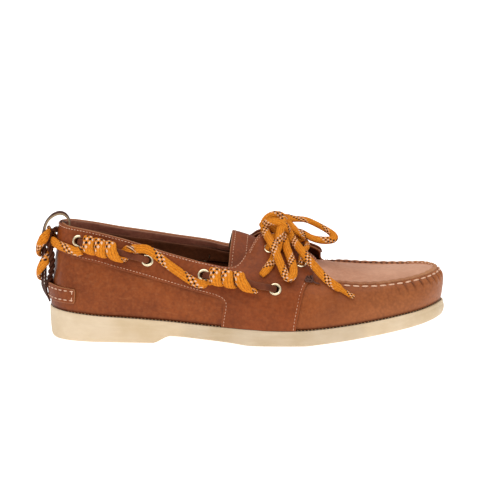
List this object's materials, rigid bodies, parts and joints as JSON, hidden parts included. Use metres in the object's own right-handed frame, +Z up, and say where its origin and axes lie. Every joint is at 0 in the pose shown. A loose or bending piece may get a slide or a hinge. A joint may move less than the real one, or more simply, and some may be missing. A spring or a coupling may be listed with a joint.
{
  "type": "lace-up boat shoe",
  "caption": "Low leather boat shoe with moccasin toe plug, side laces wrapped in round cord, a bow over the tongue and a flat rubber sole with a heel block.",
  "frame": {"origin": "on the ground, under the middle of the whole shoe's box without the bow", "axes": "+X to the toe, +Z up, -Y the outer (lateral) side of a right foot"},
  "size_m": [0.309, 0.1086, 0.096],
  "materials": {
    "gum_rubber": "matte moulded, cream",
    "oiled_leather": "oiled pull-up, saddle brown",
    "dark_leather": "oiled, dark brown",
    "insole_leather": "smooth, dark brown",
    "rawhide_lace": "matte thong, brown",
    "braided_cord": "braided, orange with dark and pale tracers",
    "plated_brass": "pale plated"
  },
  "bodies": {
    "root": {"outsole": "gum_rubber", "upper": "oiled_leather", "insole": "insole_leather", "apron": "oiled_leather", "tongue": "oiled_leather", "heel_strip": "dark_leather", "pull_strap": "dark_leather", "eyelet_lateral_1": "plated_brass", "eyelet_lateral_2": "plated_brass", "eyelet_lateral_3": "plated_brass", "eyelet_lateral_4": "plated_brass", "eyelet_lateral_5": "plated_brass", "eyelet_lateral_6": "plated_brass", "eyelet_medial_1": "plated_brass", "eyelet_medial_2": "plated_brass", "eyelet_medial_3": "plated_brass", "eyelet_medial_4": "plated_brass", "eyelet_medial_5": "plated_brass", "eyelet_medial_6": "plated_brass", "collar_lace_lateral": "rawhide_lace", "collar_lace_medial": "rawhide_lace", "instep_lace_lateral": "rawhide_lace", "instep_lace_medial": "rawhide_lace", "cord_lateral": "braided_cord", "cord_medial": "braided_cord", "cord_crossing": "braided_cord", "bow_loops": "braided_cord", "bow_ends": "braided_cord"}
  },
  "joints": []
}
